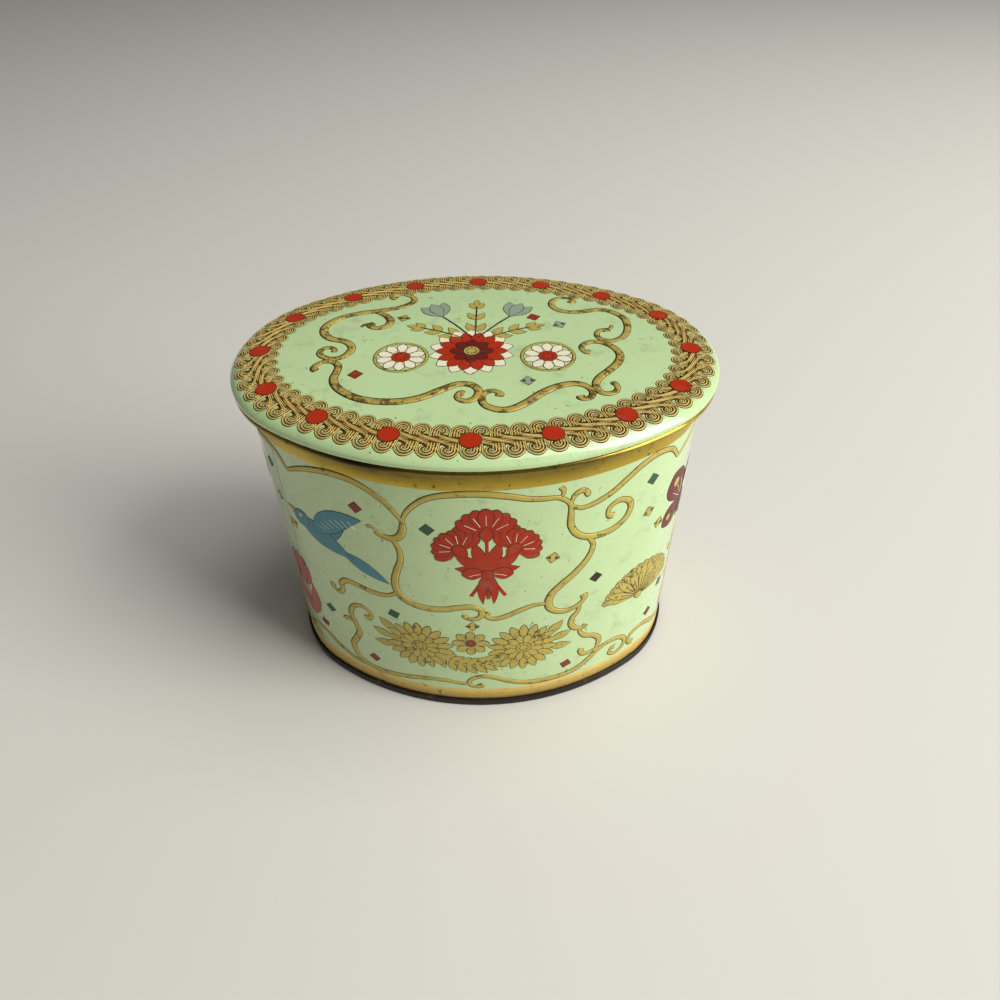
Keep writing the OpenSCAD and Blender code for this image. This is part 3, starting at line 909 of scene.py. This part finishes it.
def addButterfly(bm, strokes, ink, spot, scale, lean):
    # Two pairs of wings with gold eyes, a slim body and feelers
    up = 90 + lean
    feeler = atPlace(spot, up, 7 * scale)
    for side in (-1, 1):
        addPetal(bm, ink, 0.07, spot, up + side * 122, 15 * scale, 11 * scale, 1.4, 0.7, side * 12)
        addPetal(bm, ink, 0.1, spot, up + side * 48, 21 * scale, 14 * scale, 1.5, 0.7, -side * 12)
        addDisc(bm, "gold", 0.125, atPlace(spot, up + side * 44, 15 * scale), 2 * scale)
        addDisc(bm, "gold", 0.125, atPlace(spot, up + side * 122, 10.5 * scale), 1.5 * scale)
        addRay(strokes, "key", feeler, up + side * 12, range(8), scale, half=0.2, swing=side * 2)
        for fan in (26, 44, 62):
            addRay(strokes, "cream", spot, up + side * fan, (4, 7, 10, 12), scale)
    addPetal(bm, "key", 0.14, atPlace(spot, 180 + up, 9 * scale), up, 18 * scale, 2.8 * scale, 1.1, 0.7)


def addGarland(bm, strokes, ink, spot, scale, reach):
    # Two many-petalled flowers joined by a leafy swag
    swag = []
    for step in range(-12, 13):
        drop = 9 * scale * cos(pi * step / 24)
        swag.append((spot[0] + reach * step / 12, spot[1] - drop, 0.6))
    strokes[ink].append(swag)
    for step in range(5, 20, 2):
        for side in (-1, 1):
            addPetal(bm, ink, 0.07, swag[step][:2], side * 62 + 4 * (step - 12), 6 * scale, 2.7 * scale,
                     full=0.9, bend=-side * 20)
    outerRow = (ink, 18, 4 * scale, 8.6 * scale, 2.9 * scale)
    innerRow = (ink, 12, 1.5 * scale, 5.8 * scale, 2.7 * scale)
    for side in (-1, 1):
        flower = (spot[0] + side * reach, spot[1])
        for turn in (56, 80, 104):
            heading = 90 - side * turn
            addPetal(bm, ink, 0.05, atPlace(flower, heading, 10 * scale), heading, 8 * scale, 3.6 * scale,
                     full=0.9, bend=side * 20)
        addRosette(bm, flower, [outerRow, innerRow], (ink, 2.6 * scale))
    middle = (spot[0], spot[1] + 4 * scale)
    addRosette(bm, middle, [(ink, 8, 1.5 * scale, 5 * scale, 3 * scale)], ("red", 1.7 * scale))


# What stands at these places in each set of scrolls: drawing, ink, scale, and a lean, flip or reach
motifPlaces = {"upper_left": (-55, 80), "upper_middle": (4, 77), "lower_middle": (-3, 35.2),
               "right": (65, 43)}
garland = (addGarland, "gold", 1.05, 19.5)
motifSets = [
    [(addSwallow, "teal", 0.95, -1), (addBouquet, "red", 0.9, 0), garland, (addFan, "gold", 0.7, -4)],
    [(addButterfly, "darkRed", 0.95, -12), (addFan, "teal", 0.95, 0), garland, (addTulip, "teal", 0.9, 4)],
    [(addSwallow, "red", 0.95, 1), (addBouquet, "teal", 0.9, 0), garland, (addTulip, "pink", 1.0, 4)]]
for turn, motifs in enumerate(motifSets):
    for (place, (along, height)), (draw, ink, scale, lean) in zip(motifPlaces.items(), motifs):
        motif, strokes = bmesh.new(), defaultdict(list)
        draw(motif, strokes, ink, (along + turn * setWidth, height), scale, lean)
        finishMotif(f"wall_{place}_motif_{turn}", motif, strokes, onWall, (strokeSpec["sliceWall"],),
                    "tin_body")

# Loose lozenges of each set, each turned a little
wallLozenges = [
    (-39, 101, "brick"), (-15, 97, "pine"), (-31, 51, "pine"), (-61, 39, "pine"), (-2, 49.3, "gold"),
    (-43, 19, "brick"), (26, 81.5, "gold"), (43, 65.5, "key"), (62.5, 102.5, "pine"), (63, 87.5, "gold"),
    (69.5, 78.5, "gold"), (73.5, 26, "darkRed"), (33.7, 19, "brick")]
lozengeTurn = 25
lozenges, spots = bmesh.new(), []
for turn in range(panelSpec["sets"]):
    for a, b, ink in wallLozenges:
        spots.append((turn * setWidth + a, b, ink, random.uniform(-lozengeTurn, lozengeTurn)))
addLozenges(lozenges, spots)
layPrint("wall_lozenges", lozenges, onWall, "tin_body")

# Floor, light and camera
floorSpec = {"size": 8, "colour": "#D6D3C9", "roughness": 0.8}
floorMesh = bmesh.new()
bmesh.ops.create_grid(floorMesh, x_segments=1, y_segments=1, size=floorSpec["size"] / 2)
mesh = bpy.data.meshes.new("floor")
floorMesh.to_mesh(mesh)
floorMesh.free()
mesh.materials.append(flatPaint("matt_painted_floor", floorSpec["colour"], floorSpec["roughness"]))
floorPiece = bpy.data.objects.new("floor", mesh)
scene.collection.objects.link(floorPiece)

lampSpec = {
    "key": {"at": (1.75, -0.66, 1.12), "size": (1.1, 2.0), "watts": 56},
    "overhead": {"at": (0.9, -0.1, 2.0), "size": (1.4, 1.4), "watts": 21}}
lampAim = Vector((0, 0, 0.07))  # about the middle of the tin
for name, spec in lampSpec.items():
    light = bpy.data.lights.new(name, "AREA")
    light.shape = "RECTANGLE"
    light.size, light.size_y = spec["size"]
    light.energy = spec["watts"]
    lamp = bpy.data.objects.new(name, light)
    lamp.location = spec["at"]
    lamp.rotation_euler = (lampAim - lamp.location).to_track_quat("-Z", "Y").to_euler()
    scene.collection.objects.link(lamp)

worldSpec = {"colour": "#FFFFFF", "strength": 0.13}
world = bpy.data.worlds.new("studio")
scene.world = world
world.use_nodes = True
background = world.node_tree.nodes["Background"]
background.inputs["Color"].default_value = srgb(worldSpec["colour"])
background.inputs["Strength"].default_value = worldSpec["strength"]

# The camera is fitted to the outlines of lid, wall and base: its place in mm, its angles in degrees
cameraSpec = {"focalPixels": 745.1, "frame": 1000, "sensor": 36, "clip": 10, "at": (9.89, -221.58, 262.38),
              "pitch": 42.342, "heading": 0.514, "roll": -0.71}
camera = bpy.data.objects.new("camera", bpy.data.cameras.new("camera"))
camera.data.sensor_width = cameraSpec["sensor"]
camera.data.lens = cameraSpec["sensor"] * cameraSpec["focalPixels"] / cameraSpec["frame"]
camera.data.clip_start = cameraSpec["clip"] * mm
aim = Euler((radians(90 - cameraSpec["pitch"]), 0, radians(cameraSpec["heading"]))).to_matrix()
aim = aim @ Matrix.Rotation(radians(cameraSpec["roll"]), 3, "Z")
camera.matrix_world = Matrix.Translation(Vector(cameraSpec["at"]) * mm) @ aim.to_4x4()
scene.collection.objects.link(camera)
scene.camera = camera
scene.view_settings.view_transform = "Standard"
print("camera lens", round(camera.data.lens, 2))
